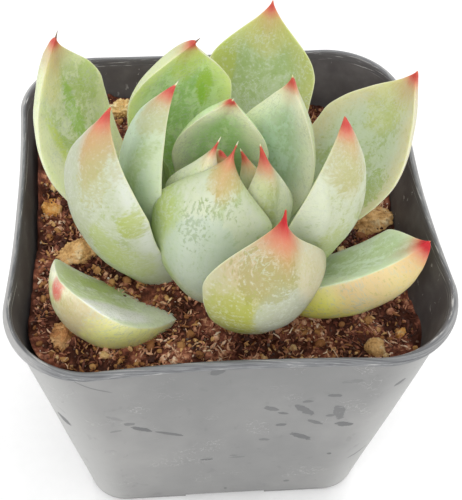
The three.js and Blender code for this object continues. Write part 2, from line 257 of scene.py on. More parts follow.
def new_piece(name, points, faces, material, marks=()):
    """An object from points in millimetres, with its marks."""
    mesh = bpy.data.meshes.new(name)
    mesh.from_pydata((points * MM).tolist(), [], faces)
    mesh.shade_smooth()
    for mark, numbers in dict(marks).items():
        add_mark(mesh, mark, numbers)
    mesh.materials.append(material)
    return placed(name, mesh)


def lerp(first, last, share):
    return first + (last - first) * share


def spun(x, y, turn):
    """Where x and y come to lie after a turn about the middle."""
    return x * np.cos(turn) - y * np.sin(turn), x * np.sin(turn) + y * np.cos(turn)


def soft_square(share, half, corner, bow_share):
    """Points on a soft square, a share of the way round from the middle of the right side."""
    quarter = np.floor(share * 4 + 0.5).astype(int) % 4
    along = (share * 4 + 0.5) % 1
    straight = half - corner
    travelled = (along - 0.5) * (2 * straight + math.pi / 2 * corner)
    bend = np.maximum(0, np.abs(travelled) - straight) / corner
    flat = np.clip(travelled, -straight, straight)
    out = half - corner * (1 - np.cos(bend))
    side = flat + np.sign(travelled) * corner * np.sin(bend)
    out = out - np.take(BOW, quarter) * bow_share * np.maximum(0, 1 - (side / straight) ** 2)
    return spun(out, side, quarter * math.pi / 2)


def pot_ring(share, half, z):
    """Points of the pot at one height, or of the floor or the soil where half is smaller."""
    rise = np.clip(z / POT_HEIGHT, 0, 1)
    inside = np.minimum(1, half / lerp(BASE_HALF, RIM_HALF, rise))
    corner = lerp(BASE_CORNER, RIM_CORNER, rise) * inside
    return soft_square(share, half, corner, rise * inside)


def outer_half(z):
    return lerp(BASE_HALF, RIM_HALF - LIP_OUT, z / POT_HEIGHT)


def ring_faces(rings, around, closed=False):
    """Quads between rings of points that lie one after the other."""
    faces = []
    for i in range(rings if closed else rings - 1):
        low = i * around
        high = (i + 1) % rings * around
        for j in range(around):
            k = (j + 1) % around
            faces.append((low + j, low + k, high + k, high + j))
    return faces


def noise_at(x, y, z=0.0, size=1.0):
    """Smooth noise from -1 to 1 at each of many places."""
    places = np.stack(np.broadcast_arrays(x, y, z), -1) / size
    values = [noise.noise(place) for place in places.reshape(-1, 3).tolist()]
    return np.array(values).reshape(places.shape[:-1])


def pot_profile():
    """Half widths and heights from the drain hole's edge below, out, up, over the lip and down."""
    below = [(half, 0.0) for half in (DRAIN_RADIUS, 6, 10, 14, 18, 21, 23.5, 24.7)]
    foot = [(25.15, 0.12), (25.4, 0.45)]
    heights = np.linspace(1, 56.9, 30)
    outside = [(outer_half(z), z) for z in heights]
    under_lip = [(outer_half(57.5), 57.5), (outer_half(57.7) + 0.1, 57.72), (32.86, 57.86)]
    lip = [(32.97, 58.02), (33.0, 58.36), (32.95, 58.68), (32.8, 58.9), (32.58, 59.0)]
    crest = [(32.32, 59.02), (32.12, 58.97), (31.98, 58.84), (31.92, 58.6)]
    inside = [(outer_half(z) - lerp(RIM_WALL, WALL, min(1, (POT_HEIGHT - z) / 12)), z)
              for z in np.linspace(58.2, 3.5, 30)]
    floor = [(24.3, 2.7), (23.6, 2.2), (22.6, FLOOR)]
    floor += [(half, FLOOR) for half in (19, 15, 11, 7, DRAIN_RADIUS)]
    return np.array(below + foot + outside + under_lip + lip + crest + inside + floor)


def cut(piece, cutters):
    """Takes the cutters' shapes out of a piece, and removes them."""
    for cutter in cutters:
        boolean = piece.modifiers.new("cut", "BOOLEAN")
        boolean.operation = "DIFFERENCE"
        boolean.solver = "EXACT"
        boolean.object = cutter
    ready = piece.evaluated_get(bpy.context.evaluated_depsgraph_get())
    mesh = bpy.data.meshes.new_from_object(ready)
    piece.modifiers.clear()
    piece.data = mesh
    for cutter in cutters:
        bpy.data.objects.remove(cutter)


def cutter_from(fill):
    mesh = bpy.data.meshes.new("cutter")
    shape = bmesh.new()
    fill(shape)
    shape.to_mesh(mesh)
    shape.free()
    return placed("cutter", mesh)


def channel_cutter(wide, deep):
    sizes = Matrix.Diagonal((wide * MM, deep * MM, 2 * CHANNEL_DEEP * MM, 1))
    return cutter_from(lambda shape: bmesh.ops.create_cube(shape, size=1, matrix=sizes))


def drain_cutter(x, y):
    radius = SIDE_DRAIN_RADIUS * MM
    move = Matrix.Translation((x * MM, y * MM, 0))
    return cutter_from(lambda shape: bmesh.ops.create_cone(
        shape, cap_ends=True, segments=40, radius1=radius, radius2=radius, depth=8 * MM, matrix=move))


def wall_depth(points):
    """How far inside the pot's outer face each point lies, in millimetres."""
    shares = np.linspace(0, 1, 721)
    turn = np.arctan2(points[:, 1], points[:, 0]) % (2 * math.pi)
    reaches = []
    for z in (POT_HEIGHT / 2, POT_HEIGHT):
        x, y = pot_ring(shares, outer_half(z), z)
        reaches.append(np.interp(turn, np.unwrap(np.arctan2(y, x)), np.hypot(x, y)))
    rise = points[:, 2] / POT_HEIGHT * 2 - 1
    return lerp(*reaches, rise) - np.hypot(points[:, 0], points[:, 1])


def hazy_sheened_plastic():
    material, wire = new_material("hazy_sheened_pot_plastic", Specular_IOR_Level=0.4, IOR=1.46)
    place = place_of(wire)
    x, y, z = split(place)
    depth = wire.value("depth_mm")
    broad = place.cloud(19, 2)
    fine = place.cloud(2.4, 4, seed=4)
    streaks = place.spread(1, 1, 0.3).cloud(3.2, 3, seed=7)
    # Random haze, plus painted sheen: paler towards the left, the right and lower down.
    haze_and_sheen = broad * 0.6 + fine * 0.2 + streaks * 0.25 + x.ease(-4, -28) * 0.4
    haze_and_sheen = haze_and_sheen + x.ease(8, 26) * 0.3 + z.ease(57, 30) * 0.2
    haze_and_sheen = haze_and_sheen.ease(0.4, 1.3)
    colour = haze_and_sheen.over(HAZE_AND_SHEEN_DARK, HAZE_AND_SHEEN_LIGHT)
    # Painted sheen: the rounded corners, seen at a slant, are paler.
    half_here = z * ((RIM_HALF - BASE_HALF) / POT_HEIGHT) + BASE_HALF
    corner = abs(x / half_here).ease(0.62, 1.0) * abs(y / half_here).ease(0.5, 0.9)
    colour = (corner * 0.75).over(colour, CORNER_SHEEN)
    colour = (z.ease(1.9, 1.3) * 0.3).over(colour, BARE_PLASTIC)
    # Rubbed flakes on the front, and others scattered over the other sides.
    front = y.ease(-12, -17)
    torn = place.swirled(1.4, 1.2)
    ragged = torn.cloud(0.9, 3, seed=9) - 0.5
    rubbed = None
    for across, height, long, wide, tilt, strength in FLAKES:
        over = x - across
        up = z - height
        turn = math.radians(tilt)
        first = (over * math.cos(turn) + up * math.sin(turn)) / long
        second = (up * math.cos(turn) - over * math.sin(turn)) / wide
        flake = (first ** 2 + second ** 2 + ragged * 2.6).ease(1.2, 0.95) * strength
        rubbed = flake if rubbed is None else rubbed.most(flake)
    start, end = HAIRLINE["left"], HAIRLINE["right"]
    arch = HAIRLINE["drop"] * ((x - start) / (end - start)).most(0) ** 0.8
    off_line = abs(z - HAIRLINE["high"] + arch)
    on_line = off_line.ease(0.3, 0.1) * x.ease(start - 1, start) * x.ease(end, end - 1)
    rubbed = rubbed.most(on_line * 0.7) * front
    scattered = torn.spread(1, 1, 0.5).cells(9)
    rare = place.cloud(14, 1, seed=12).ease(0.5, 0.6)
    rubbed = rubbed.most((scattered + ragged * 0.08).ease(0.1, 0.085) * rare * (1 - front))
    colour = (rubbed * 0.8).over(colour, BARE_PLASTIC)
    crazed = abs(torn.cloud(1.5, 2, seed=15) - 0.5).ease(0.02, 0.0)
    crazed = crazed * place.cloud(7, 1, seed=17).ease(0.56, 0.66)
    colour = (crazed * 0.3).over(colour, DUST_AND_SHEEN)
    smudge = place.spread(1, 1, 0.6).swirled(3, 3).cloud(2, 4, seed=18).ease(0.6, 0.72)
    colour = (smudge * 0.16).over(colour, BARE_PLASTIC)
    # The inside has kept its dark colour, with dust and splashes of grit on it.
    inside = depth.ease(0.3, 0.45)
    splash = place.spread(1, 1, 0.55).swirled(2, 2.2).cloud(0.8, 3, seed=22).ease(0.64, 0.7)
    splash = splash * place.cloud(7, 2, seed=24).ease(0.45, 0.6) * z.ease(46, 52)
    specks = place.cells(1.1).ease(0.13, 0.08) * place.cloud(6, 2, seed=20).ease(0.45, 0.6)
    dusty = (place.cloud(4, 4, seed=26).ease(0.35, 0.8) * 0.14).over(INSIDE_PLASTIC, DUST_AND_SHEEN)
    dusty = (specks * 0.8).most(splash * 0.75).over(dusty, DUST_AND_SHEEN)
    colour = inside.over(colour, dusty)
    # The lip is a bluish grey, with fine white scuffs that run along its edges. Painted light makes
    # its sides paler and draws a highlight along its outer edge.
    lip = z.ease(57.55, 57.8)
    around = place.spread(0.3, 0.3, 0)
    scuffs = joined(depth * 3.2, z * 3.2, 0).moved(around).cloud(1, 4, seed=30, rough=0.6)
    crest = z.ease(58.8, 58.95) * depth.ease(0.25, 0.55)
    worn = (scuffs + crest * 0.06).ease(0.56, 0.64)
    lip_colour = scuffs.ease(0.35, 0.6).over(LIP_DARK, LIP_GREY)
    # Painted light: the lip's outer part is paler at the left and right sides, most at the left.
    sides = x.ease(-24, -31) * 0.6 + x.ease(24, 31) * 0.3
    lip_colour = (sides * depth.ease(0.15, -0.15)).over(lip_colour, DUST_AND_SHEEN)
    lip_colour = (depth.ease(0.2, 0.5) * 0.75).over(lip_colour, INSIDE_PLASTIC)
    lip_colour = (worn * 0.8).over(lip_colour, DUST_AND_SHEEN)
    # Painted highlight: a pale line along the lip's lower outer edge.
    outer_edge_highlight = abs(z - 57.75).ease(0.3, 0.05) * (1 - inside)
    lip_colour = (outer_edge_highlight * 0.4).over(lip_colour, DUST_AND_SHEEN)
    colour = (lip * (1 - depth.ease(1.12, 1.2))).over(colour, lip_colour)
    roughness = 0.5 + haze_and_sheen * 0.12 - rubbed * 0.1 + inside * 0.12
    height = fine * 0.2 + broad * 0.5 - rubbed * 0.3 - crazed * 0.2 + worn * lip * 0.5
    cover(material, colour, roughness, height, 0.00012)
    return material


profile = pot_profile()
shares = np.arange(POT_AROUND) / POT_AROUND
rows = []
for half, z in profile:
    x, y = pot_ring(shares, half, z)
    if half <= DRAIN_RADIUS:
        x, y = half * np.cos(2 * math.pi * shares), half * np.sin(2 * math.pi * shares)
    rows.append(np.stack([x, y, np.full(POT_AROUND, z)], 1))
pot_points = np.concatenate(rows)
# A thin wall is never quite even, and it gives a little where it was gripped.
outward = pot_points[:, :2] / np.maximum(1, np.hypot(pot_points[:, 0], pot_points[:, 1]))[:, None]
swell = 0.16 * noise_at(pot_points[:, 0], pot_points[:, 1], pot_points[:, 2] * 0.7, size=15)
swell *= np.clip(pot_points[:, 2] / 12, 0, 1)
pot_points[:, :2] += outward * swell[:, None]
sag = 0.12 * noise_at(outward[:, 0] * RIM_HALF, outward[:, 1] * RIM_HALF, size=13)
pot_points[:, 2] += sag * (pot_points[:, 2] > 40)
plastic = hazy_sheened_plastic()
pot = new_piece("pot_shell", pot_points, ring_faces(len(profile), POT_AROUND, closed=True), plastic)
across_foot, channel = 4 * BASE_HALF, 2 * CHANNEL_HALF
cutters = [channel_cutter(across_foot, channel), channel_cutter(channel, across_foot)]
for quarter in range(4):
    cutters.append(drain_cutter(*spun(SIDE_DRAIN_OUT, 0, quarter * math.pi / 2)))
cut(pot, cutters)
pot.data.shade_smooth()
pot.data.set_sharp_from_angle(angle=math.radians(40))
cut_points = np.array([v.co for v in pot.data.vertices]) / MM
add_mark(pot.data, "depth_mm", wall_depth(cut_points))
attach(pot, "root")
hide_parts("pot")


# The soil
# Potting soil of peat, coir and composted bark that was pressed in loosely by hand. Its top is a
# mat of short reddish splinters, moist crumbs and specks of grit, heaped up at the back left.
SOIL_GRID = 190
SOIL_UNDER = 2.4
# The height at which the pot's inside gives the soil's outline.
SOIL_LINE = 49
TOP_ROOM = 0.05
# Heaps and hollows against the wall: across, back, half width, half depth and height.
HEAPS = ((-31.5, 11, 2.3, 6.5, 4), (31, 5, 3, 6, 1.6), (-31, -14, 3, 7, -0.5), (-1, -26, 12, 3, 0.8))
# Wet dark peat at 0 to dry pale chaff at 1.
SOIL_BROWNS = (
    (0.0, (0.06, 0.016, 0.008)),
    (0.3, (0.24, 0.075, 0.043)),
    (0.6, (0.57, 0.25, 0.14)),
    (0.85, (0.8, 0.48, 0.29)),
    (1.0, (0.9, 0.74, 0.56)),
)
COIR_BROWNS = (
    (0.0, (0.12, 0.034, 0.018)),
    (0.35, (0.42, 0.16, 0.085)),
    (0.7, (0.72, 0.39, 0.22)),
    (1.0, (0.9, 0.74, 0.54)),
)
CHAFF_TANS = (
    (0.0, (0.3, 0.12, 0.04)),
    (0.5, (0.6, 0.32, 0.11)),
    (0.85, (0.78, 0.52, 0.24)),
    (1.0, (0.88, 0.76, 0.54)),
)
GRIT_GREYS = (
    (0.0, (0.07, 0.05, 0.05)),
    (0.5, (0.3, 0.18, 0.11)),
    (0.8, (0.62, 0.46, 0.3)),
    (1.0, (0.95, 0.9, 0.82)),
)


def soil_level(x, y):
    """The soil's broad shape, as the CAD model has it, with its heaps."""
    coarse = np.sin(x * 0.55 + 1.1 * np.sin(y * 0.31)) * np.sin(y * 0.47 + 0.6)
    hollow = np.exp(-((x - 14) ** 2 + (y + 20) ** 2) / (2 * 11 ** 2))
    level = 50 - 0.095 * x + 0.55 * coarse - 2.2 * hollow
    for across, back, wide, long, high in HEAPS:
        level = level + high * np.exp(-(((x - across) / wide) ** 2 + ((y - back) / long) ** 2) / 2)
    return level


def soil_surface(x, y):
    """The same with its own crumbs."""
    lumps = noise_at(x, y, 3.0, size=3.1) * 0.6 + noise_at(x, y, 9.0, size=1.35) * 0.55
    return soil_level(x, y) + lumps + noise_at(x, y, 17.0, size=0.7) * 0.3


def in_the_pot(u, v, room):
    """Spreads a square of places from -1 to 1 over the soil's soft square."""
    reach = np.maximum(np.maximum(np.abs(u), np.abs(v)), 1e-6)
    on_right = np.abs(u) >= np.abs(v)
    side = np.where(on_right, v * np.sign(u), -u * np.sign(v)) / reach
    quarter = np.where(on_right, np.where(u >= 0, 0, 2), np.where(v >= 0, 1, 3))
    share = (quarter + side / 2) / 4 % 1
    half = outer_half(SOIL_LINE) - WALL - room
    return pot_ring(share, half * reach, SOIL_LINE + 0 * reach)


def crumbly(name, stops, dry, wet=0.35, patchy=0.5):
    """Soil of one kind: each crumb has its own tone, with finer mottling and moist highlights."""
    material, wire = new_material(name, Specular_IOR_Level=wet)
    place = place_of(wire)
    mottle = place.cloud(0.35, 3, seed=2)
    patch = place.cloud(4.5, 2, seed=5).ease(0.3, 0.7) - 0.5
    tone = (wire.value("tone") * 0.85 + (mottle - 0.5) * 0.5 + patch * patchy).ease(0, 1)
    colour = tone.node("ValToRGB", {"stops": stops}, {0: tone}, "Color")
    roughness = dry + mottle * 0.35 + patch * 0.2
    cover(material, colour, roughness, place.cloud(0.2, 3, seed=8), 0.00012)
    return material


line = np.linspace(-1, 1, SOIL_GRID)
grid_u, grid_v = np.meshgrid(line, line)
top_x, top_y = in_the_pot(grid_u.ravel(), grid_v.ravel(), TOP_ROOM)
top_z = soil_surface(top_x, top_y)
soil_points = [np.stack([top_x, top_y, top_z], 1)]
cell = np.arange(SOIL_GRID * SOIL_GRID).reshape(SOIL_GRID, SOIL_GRID)
soil_faces = np.stack([cell[:-1, :-1], cell[:-1, 1:], cell[1:, 1:], cell[1:, :-1]], -1)
soil_faces = soil_faces.reshape(-1, 4).tolist()
# The sides follow the inside of the pot down to a flat underside.
edge = np.concatenate([cell[0, :-1], cell[:-1, -1], cell[-1, :0:-1], cell[:0:-1, 0]])
edge_x, edge_y = top_x[edge], top_y[edge]
above = edge
for z in (42, 34, 22, 10, 4.2, SOIL_UNDER):
    room = WALL + 0.2 + (1.2 if z == SOIL_UNDER else 0)
    shrink = (outer_half(z) - room) / (outer_half(SOIL_LINE) - WALL - TOP_ROOM)
    ring = np.stack([edge_x * shrink, edge_y * shrink, np.full(len(edge), float(z))], 1)
    below = sum(len(part) for part in soil_points) + np.arange(len(edge))
    soil_points.append(ring)
    soil_faces += np.stack([above, below, np.roll(below, -1), np.roll(above, -1)], 1).tolist()
    above = below
soil_faces.append(above[::-1].tolist())
soil_points = np.concatenate(soil_points)
soil_tone = 0.22 + 0.35 * noise_at(soil_points[:, 0], soil_points[:, 1], soil_points[:, 2], size=0.8)
peat = crumbly("peat", SOIL_BROWNS, 0.5, wet=0.2)
soil = new_piece("soil_bed", soil_points, soil_faces, peat, {"tone": soil_tone})
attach(soil, "root")
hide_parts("soil")


def ball(rounds):
    """Points and faces of a ball of triangles."""
    shape = bmesh.new()
    bmesh.ops.create_icosphere(shape, subdivisions=rounds, radius=1)
    points = np.array([v.co for v in shape.verts])
    faces = np.array([[v.index for v in face.verts] for face in shape.faces])
    shape.free()
    return points, faces


def chipped(points, chance, count, planes, depths):
    """Points of many grains, made from one ball whose sides are broken flat in new places."""
    normals = chance.normal(0, 1, (count, planes, 3))
    normals /= np.linalg.norm(normals, axis=2, keepdims=True)
    towards = np.maximum(np.einsum("pk,nqk->npq", points, normals), 1e-3)
    limits = chance.uniform(*depths, (count, 1, planes))
    return points[None] * np.minimum(1, (limits / towards).min(2))[..., None]


def turns(chance, count):
    """A random turn for each grain, as three axes. Most grains lie nearly flat."""
    yaw = chance.uniform(0, 2 * math.pi, count)
    nod = chance.normal(0, 0.6, count)
    lean = chance.normal(0, 0.6, count)
    axes = [Matrix.Rotation(a, 3, "Z") @ Matrix.Rotation(b, 3, "Y") @ Matrix.Rotation(c, 3, "X")
            for a, b, c in zip(yaw.tolist(), nod.tolist(), lean.tolist())]
    return np.array([[list(row) for row in axis] for axis in axes])


def loose(name, points, faces, tone, material):
    """A piece of many loose flat-sided bits."""
    piece = new_piece(name, points, faces, material, {"tone": tone})
    piece.data.shade_flat()
    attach(piece, "root")


# Spans across and back that crumbs are scattered over, as shares of the pot's half width.
EVERYWHERE = ((-1, 1), (-1, 1))
FRONT_LEFT = ((-0.98, -0.3), (-0.98, -0.35))


def scatter_crumbs(name, count, sizes, ball_rounds, sink, material, seed, area=EVERYWHERE):
    """Broken crumbs of one kind that are bedded in the top of the soil, or in one area of it."""
    chance = np.random.default_rng(seed)
    points, faces = ball(ball_rounds)
    x, y = in_the_pot(*(chance.uniform(*span, count) for span in area), 0.6)
    size = lerp(*sizes, chance.beta(1.2, 3.4, count))
    shape = chance.uniform(0.5, 1.0, (count, 3))
    shape[:, 0] = 1
    local = chipped(points, chance, count, 9, (0.55, 0.95)) * shape[:, None] * size[:, None, None] / 2
    local = np.einsum("nij,nkj->nki", turns(chance, count), local)
    middle = np.stack([x, y, soil_surface(x, y) + size * sink], 1)
    all_points = (local + middle[:, None]).reshape(-1, 3)
    all_faces = (faces[None] + len(points) * np.arange(count)[:, None, None]).reshape(-1, 3)
    tone = np.repeat(chance.beta(1.3, 1.9, count), len(points))
    loose(name, all_points, all_faces.tolist(), tone, material)


def scatter_splinters(name, count, lengths, girths, stand, material, seed):
    """Short, nearly straight splinters and fibres that lie and stand in the mat."""
    chance = np.random.default_rng(seed)
    rings, sides = 3, 4
    each = (count, 1)
    x, y = in_the_pot(*chance.uniform(-1, 1, (2, *each)), 1.0)
    long = lerp(*lengths, chance.beta(1.3, 2.4, each))
    thick = chance.uniform(*girths, each) / 2
    turn = chance.uniform(0, 2 * math.pi, each)
    tilt = chance.normal(0, stand, each).clip(-1.2, 1.2)
    bend = chance.normal(0, 0.12, each) * long
    share = np.linspace(-0.5, 0.5, rings)
    run_x, run_y = spun(long * share * np.cos(tilt), bend * (0.25 - share ** 2) * 4, turn)
    path_x, path_y = x + run_x, y + run_y
    wall = outer_half(SOIL_LINE) - WALL - 0.4
    fit = np.minimum(1, wall / np.maximum(np.abs(path_x), np.abs(path_y)))
    path_x, path_y = path_x * fit, path_y * fit
    lift = chance.uniform(0.0, 0.5, each) + 0.18 * long * np.abs(np.sin(tilt))
    rise = lift + long * share * np.sin(tilt)
    path_z = soil_surface(path_x, path_y).mean(1, keepdims=True) + rise
    corner = (np.arange(sides) + 0.5) / sides * 2 * math.pi
    flat = chance.uniform(0.35, 1, (*each, 1))
    taper = np.array([0.35, 1.0, 0.45])[:, None] * thick[..., None]
    across = np.cos(corner) * taper
    upward = np.sin(corner) * taper * flat
    ring_x = path_x[..., None] - np.sin(turn)[..., None] * across
    ring_y = path_y[..., None] + np.cos(turn)[..., None] * across
    points = np.stack([ring_x, ring_y, path_z[..., None] + upward], -1).reshape(-1, 3)
    one = ring_faces(rings, sides) + [tuple(range(sides))[::-1]]
    one.append(tuple((rings - 1) * sides + k for k in range(sides)))
    faces = [tuple(rings * sides * n + k for k in face) for n in range(count) for face in one]
    tone = np.repeat(chance.beta(1.3, 2.0, count), rings * sides)
    loose(name, points, faces, tone, material)


bark = crumbly("bark_crumbs", SOIL_BROWNS, 0.45)
coir = crumbly("coir_splinters", COIR_BROWNS, 0.45)
chaff = crumbly("pale_chaff", CHAFF_TANS, 0.5, patchy=0.3)
grit = crumbly("fine_grit", GRIT_GREYS, 0.45, wet=0.5, patchy=0.2)
scatter_crumbs("soil_crumbs", 1100, (0.6, 2.3), 2, 0.05, bark, 11)
scatter_crumbs("soil_clay_chips", 760, (0.5, 2.3), 2, 0.2, chaff, 12)
scatter_crumbs("soil_grit", 2600, (0.22, 0.75), 1, 0.45, grit, 13)
scatter_crumbs("soil_corner_chips", 120, (0.5, 2.4), 2, 0.15, chaff, 17, FRONT_LEFT)
scatter_splinters("soil_splinters", 5600, (0.4, 1.7), (0.28, 0.62), 0.5, bark, 14)
scatter_splinters("soil_fibres", 2800, (0.5, 2.4), (0.14, 0.34), 0.4, coir, 15)
scatter_splinters("soil_chaff", 900, (0.5, 1.8), (0.25, 0.6), 0.35, chaff, 16)


# The stones
# Grains of baked clay and pumice that are mixed into the soil for drainage. The clay is broken
# with flat chipped sides, the pumice is frothy, and each one lies half sunk in the bed.
# Each stone: across, back, its three sizes, turn in degrees, tint and how rough its skin is.
STONES = {
    "stone_clay_left": (-28, 3, (4.2, 3.6, 3.4), 20, "orange", 0.2),
    "stone_pumice_left": (-27.4, 6.9, (1.8, 1.6, 1.5), 50, "cream", 0.3),
    "stone_clay_lump": (-22.9, -6.3, (6.2, 4.6, 3.8), 15, "sand", 1.0),
    "stone_pumice_back": (-16.3, 25.6, (3.8, 3.6, 4), 35, "cream", 1.7),
    "stone_clay_corner": (-25, -21.6, (4.8, 3.6, 3), 70, "brown", 1.1),
    "stone_tan_corner": (22.4, -22.9, (3.3, 3.1, 3), 10, "sand", 0.4),
    "stone_clay_small": (27, -20, (2.1, 1.8, 1.7), 40, "orange", 0.4),
    "stone_clay_large": (25.3, 1.8, (7.6, 5.6, 4.4), 4, "sand", 0.7),
    "stone_white": (19.7, -4.6, (2.3, 1.8, 1.7), 80, "cream", 0.4),
}
# Dark, middle and pale tone of each kind of stone.
TINTS = {
    "orange": ((0.38, 0.13, 0.02), (0.9, 0.45, 0.12), (0.95, 0.76, 0.42)),
    "sand": ((0.4, 0.19, 0.06), (0.82, 0.5, 0.2), (0.93, 0.76, 0.46)),
    "brown": ((0.2, 0.07, 0.03), (0.6, 0.28, 0.1), (0.86, 0.56, 0.27)),
    "cream": ((0.54, 0.28, 0.08), (0.93, 0.66, 0.28), (0.95, 0.88, 0.6)),
}


def stone_material(tint):
    dark, middle, pale = TINTS[tint]
    material, wire = new_material("stone_" + tint, Specular_IOR_Level=0.3)
    place = place_of(wire)
    grain = place.cloud(0.4, 4, seed=1, rough=0.65)
    blotch = place.swirled(2, 1.5).cloud(1.7, 3, seed=3)
    pores = place.cells(0.45, seed=6).ease(0.35, 0.12) * blotch.ease(0.35, 0.6)
    tone = ((grain - 0.5) * 0.9 + (blotch - 0.5) * 1.5 + 0.5).ease(0, 1)
    stops = ((0.0, dark), (0.5, middle), (1.0, pale))
    colour = tone.node("ValToRGB", {"stops": stops}, {0: tone}, "Color")
    colour = (pores * 0.6).over(colour, dark)
    cover(material, colour, 0.7 + grain * 0.2, grain - pores * 0.8, 0.00025)
    return material


stone_materials = {tint: stone_material(tint) for tint in TINTS}
for seed, (name, (across, back, sizes, twist, tint, rough)) in enumerate(STONES.items()):
    chance = np.random.default_rng(40 + seed)
    points, faces = ball(5)
    shaped = chipped(points, chance, 1, 13, (0.66, 0.95))[0]
    lumps = np.abs(noise_at(*(points * 3.2 + 7 * seed).T))
    pits = np.abs(noise_at(*(points * 8 + seed).T))
    worn = 1 + 0.08 * noise_at(*(points * 2.1 + 9 * seed).T)
    worn = worn + rough * (lumps * 0.34 + pits * 0.16 - 0.1)
    shaped = shaped * worn[:, None] * np.array(sizes) / 2 * 1.08
    x, y = spun(shaped[:, 0], shaped[:, 1], math.radians(twist))
    low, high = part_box(name)
    z = shaped[:, 2] + (low.z + high.z) / 2 / MM
    grain_points = np.stack([across + x, back + y, z], 1)
    piece = new_piece(name + "_grain", grain_points, faces.tolist(), stone_materials[tint])
    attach(piece, "root")
    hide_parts(name)


# The stem
# A short woody stem with a few roots, which the leaf bases and the soil hide. It is the CAD solid
# with a corky bark on it.
stem_material, wire = new_material("stem_bark", Specular_IOR_Level=0.3)
place = place_of(wire)
rings = place.spread(1, 1, 3).cloud(1.5, 3)
bark_tone = rings.ease(0.3, 0.7).over((0.24, 0.16, 0.08), (0.45, 0.38, 0.22))
cover(stem_material, bark_tone, 0.7 + rings * 0.2, rings, 0.0002)
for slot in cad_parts["stem"].material_slots:
    slot.material = stem_material


# The leaves
# Thick water-filled leaves that grow from the stem in a rosette, each one a smooth lens with a thin
# margin and a red point. A waxy bloom covers them in streaks, and shows green where it is rubbed.
CROWN = (2, -4)
LEAF_RINGS = 84
LEAF_AROUND = 60
HAIR_RINGS = 6
NECK_END = 3
FRESH = (0.22, 0.41, 0.05)
LEAF_GREEN = (0.31, 0.42, 0.1)
SPRING = (0.43, 0.5, 0.1)
DEEP = (0.15, 0.25, 0.13)
FROST = (0.56, 0.61, 0.5)
CREAM = (0.76, 0.73, 0.45)
RIM_CREAM = (0.72, 0.74, 0.5)
PEACH = (0.57, 0.29, 0.13)
PINK = (0.6, 0.16, 0.11)
RED = (0.51, 0.07, 0.06)
CRIMSON = (0.47, 0.014, 0.025)
PURPLE = (0.12, 0.045, 0.07)

# Each leaf: where its base is, as the way from the crown in degrees, the distance and the height,
# its slope there and at the tip, its length, width and thickness, how deep it is cupped, its roll
# and sweep in degrees, the share of its length where it is widest, how full and how sharp its
# outline ends, the skew of that outline, and how far one shoulder is trimmed.
SHAPE_NAMES = (
    "turn", "out", "up", "slope", "tip_slope", "long", "wide", "thick", "cup", "roll", "sweep",
    "widest", "full", "sharp", "skew", "trim")
SHAPES = {
    "leaf_front": (285, 8.5, 49.5, 25, 122, 33, 20.5, 5, 2, 26, -32, 0.65, 1.8, 2.3, -0.03, 0.2),
    "leaf_front_left": (243, 7.5, 49, 48, 153, 31, 17.5, 5, 1, 16, -3, 0.65, 1.7, 2.3, 0, 0),
    "leaf_heart_left": (215, 4.5, 53, 57, 125, 24.5, 12, 3.5, 1, 22, 2, 0.55, 1.4, 1.6, 0, 0),
    "leaf_heart_right": (303, 3.5, 52, 66, 110, 25, 12, 4, 1, -2, 0, 0.45, 1.4, 1.5, 0, 0),
    "leaf_heart_middle": (315, 2, 53.5, 72, 119, 19, 9, 3, 1, 0, 0, 0.5, 1.4, 1.4, 0, 0),
    "leaf_heart_front": (212, 2.5, 54.5, 80, 96, 19, 8, 2.5, 1, 0, 0, 0.6, 2.4, 0.7, 0, 0),
    "leaf_left": (199, 10.5, 48.5, 44, 112, 41.5, 17, 5.5, 1.5, 26, -9, 0.6, 1.4, 1.4, 0, 0),
    "leaf_right": (327, 6.5, 48.5, 55, 100, 39, 14, 5, 1, -19, -2, 0.5, 1.4, 1, 0, 0),
    "leaf_low_right": (
        316.8, 7.1, 48, 27.5, 51, 30, 14.1, 7.8, 1.8, -18.5, 39.5, 0.5, 1.4, 1.2, 0.21, 0),
    "leaf_inner_back": (114, 3, 53, 64, 116, 27, 14.5, 4, 2, -29, 4, 0.55, 2, 1.2, 0, 0),
    "leaf_inner_right": (39, 3, 50.5, 61, 92, 30.5, 15, 4, 2, 9, 2, 0.5, 2, 1.4, 0, 0),
    "leaf_inner_left": (179, 7.5, 50.5, 48, 127, 36, 14, 4.5, 1, 3, 19, 0.55, 1.4, 1.1, 0, 0),
    "leaf_inner_side": (166, 9, 49.5, 58, 105, 20, 9, 4, 1, 0, 0, 0.55, 1.6, 1.2, 0, 0),
    "leaf_back_left": (121, 6.5, 50, 37, 125, 37.5, 17, 4.5, 2, -22, 12, 0.6, 2.7, 1.9, 0, 0),
    "leaf_outer_right": (18, 4, 48.5, 28, 74, 39, 18.5, 5, 2, 9, 0, 0.6, 1.8, 1.3, 0, 0),
    "leaf_outer_back": (77, 3.5, 49, 25, 65, 38.5, 18, 5, 2, -3, -4, 0.7, 1.8, 1.5, 0, 0),
    "leaf_outer_left": (157, 12, 49.5, 18, 110, 42, 17.5, 4.5, 1, 0, -23, 0.55, 1.8, 1.6, -0.1, 0),
    "leaf_low_left": (
        218.3, 12.1, 45.5, 22.7, 66, 27.4, 16.4, 7.9, 1.2, 15.7, -23.2, 0.7, 2.3, 0.75, -0.04, 0),
}
# The leaf that has broken off the crown.
PARTED = "leaf_low_left"
